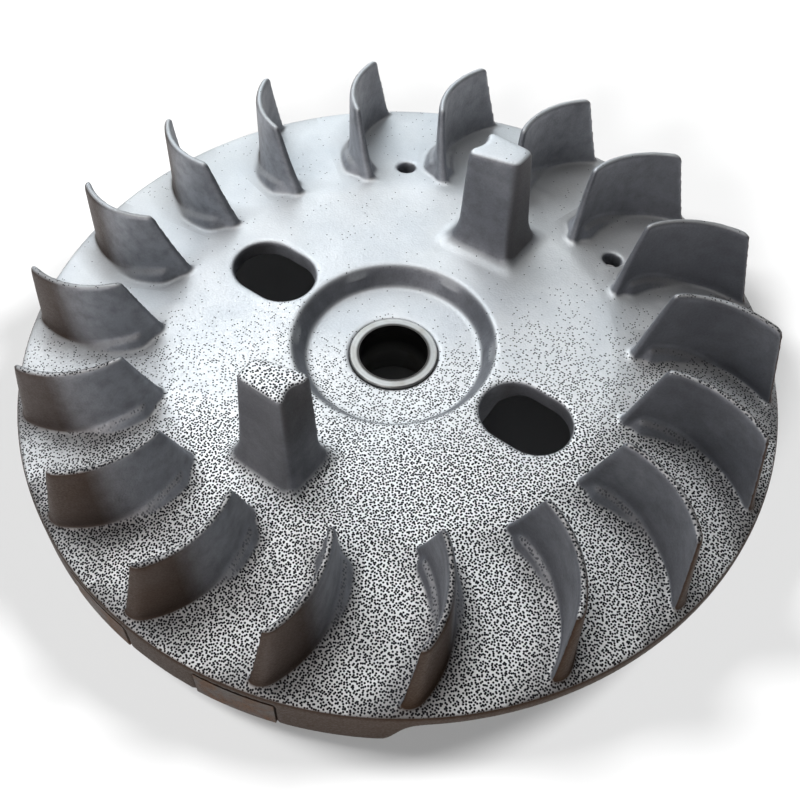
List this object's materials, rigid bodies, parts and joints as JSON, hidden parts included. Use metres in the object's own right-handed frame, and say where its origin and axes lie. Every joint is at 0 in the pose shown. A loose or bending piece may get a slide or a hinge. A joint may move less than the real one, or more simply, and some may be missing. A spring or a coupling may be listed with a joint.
{
  "type": "magneto fan flywheel",
  "caption": "Cast aluminium fan flywheel of a small engine, with curved blades, tall starter dogs, a steel hub with a tapered bore, and a rim magnet with laminated pole shoes.",
  "frame": {"origin": "on the bore axis, at the back face of the steel hub, which is the part's lowest face", "axes": "+Z along the bore axis, out of the fan side; +X along the line through the two slots; +Y through a starter dog"},
  "size_m": [0.15, 0.15, 0.0432],
  "materials": {
    "casting": "matt, fine blasted cast grain",
    "hub_steel": "turned, bright",
    "magnet": "ground, matt",
    "lamination": "stamped, lightly rusted",
    "rivet_steel": "plain"
  },
  "bodies": {
    "root": {"flywheel_casting": "casting", "hub_insert": "hub_steel", "magnet": "magnet", "pole_rivets": "rivet_steel", "pole_plate_leading_1": "lamination", "pole_plate_leading_2": "lamination", "pole_plate_leading_3": "lamination", "pole_plate_leading_4": "lamination", "pole_plate_leading_5": "lamination", "pole_plate_leading_6": "lamination", "pole_plate_leading_7": "lamination", "pole_plate_leading_8": "lamination", "pole_plate_trailing_1": "lamination", "pole_plate_trailing_2": "lamination", "pole_plate_trailing_3": "lamination", "pole_plate_trailing_4": "lamination", "pole_plate_trailing_5": "lamination", "pole_plate_trailing_6": "lamination", "pole_plate_trailing_7": "lamination", "pole_plate_trailing_8": "lamination"}
  },
  "joints": []
}
